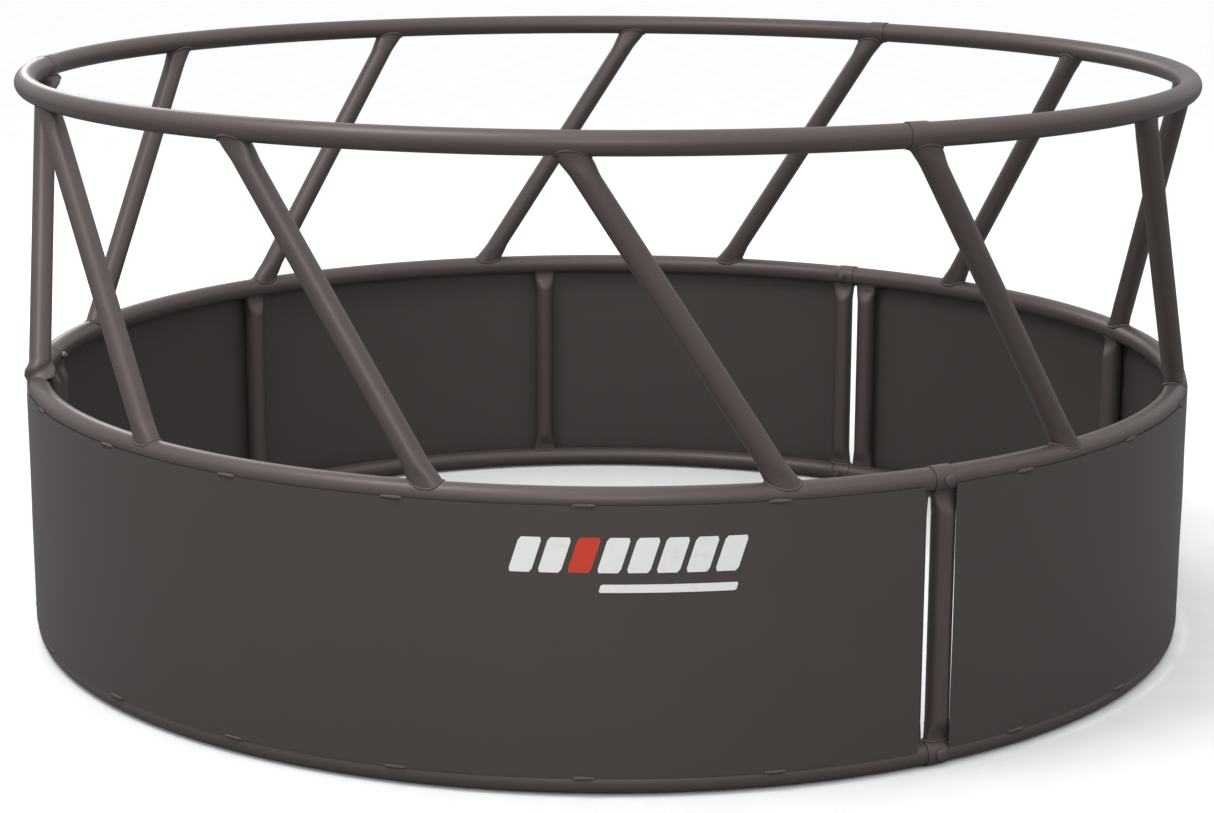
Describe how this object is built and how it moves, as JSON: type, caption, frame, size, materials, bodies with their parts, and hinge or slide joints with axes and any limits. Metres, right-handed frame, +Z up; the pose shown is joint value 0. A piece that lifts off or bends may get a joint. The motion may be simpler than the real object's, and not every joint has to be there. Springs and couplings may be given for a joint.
{
  "type": "round bale feeder",
  "caption": "Round steel feeder ring for a standing hay bale, with a sheet skirt round the foot and slanted bars that leave head openings below the top rail.",
  "frame": {"origin": "on the ground at the centre of the ring", "axes": "+Z up along the ring's own axis; the decal is on the -Y side"},
  "size_m": [2.4474, 2.4389, 1.172],
  "materials": {
    "tube_paint": "semi-gloss dark brown paint over tube and welds",
    "sheet_paint": "satin dark brown paint over rolled sheet, a little mottled",
    "bolt_paint": "fasteners painted over in the same dark brown",
    "decal_vinyl": "printed vinyl with a plain pattern and no words"
  },
  "bodies": {
    "root": {"top_rail_1": "tube_paint", "mid_rail_1": "tube_paint", "bottom_rail_1": "tube_paint", "slant_bar_1a": "tube_paint", "slant_bar_1b": "tube_paint", "slant_bar_1c": "tube_paint", "slant_bar_1d": "tube_paint", "skirt_upright_1a": "tube_paint", "skirt_upright_1b": "tube_paint", "skirt_upright_1c": "tube_paint", "skirt_upright_1d": "tube_paint", "skirt_sheet_1": "sheet_paint", "mid_joint_bolt_1": "bolt_paint", "mid_joint_nut_1": "bolt_paint", "bottom_joint_bolt_1": "bolt_paint", "bottom_joint_nut_1": "bolt_paint", "top_rail_2": "tube_paint", "mid_rail_2": "tube_paint", "bottom_rail_2": "tube_paint", "slant_bar_2a": "tube_paint", "slant_bar_2b": "tube_paint", "slant_bar_2c": "tube_paint", "slant_bar_2d": "tube_paint", "skirt_upright_2a": "tube_paint", "skirt_upright_2b": "tube_paint", "skirt_upright_2c": "tube_paint", "skirt_upright_2d": "tube_paint", "skirt_sheet_2": "sheet_paint", "mid_joint_bolt_2": "bolt_paint", "mid_joint_nut_2": "bolt_paint", "bottom_joint_bolt_2": "bolt_paint", "bottom_joint_nut_2": "bolt_paint", "top_rail_3": "tube_paint", "mid_rail_3": "tube_paint", "bottom_rail_3": "tube_paint", "slant_bar_3a": "tube_paint", "slant_bar_3b": "tube_paint", "slant_bar_3c": "tube_paint", "slant_bar_3d": "tube_paint", "skirt_upright_3a": "tube_paint", "skirt_upright_3b": "tube_paint", "skirt_upright_3c": "tube_paint", "skirt_upright_3d": "tube_paint", "skirt_sheet_3": "sheet_paint", "mid_joint_bolt_3": "bolt_paint", "mid_joint_nut_3": "bolt_paint", "bottom_joint_bolt_3": "bolt_paint", "bottom_joint_nut_3": "bolt_paint", "skirt_decal": "decal_vinyl"}
  },
  "joints": []
}
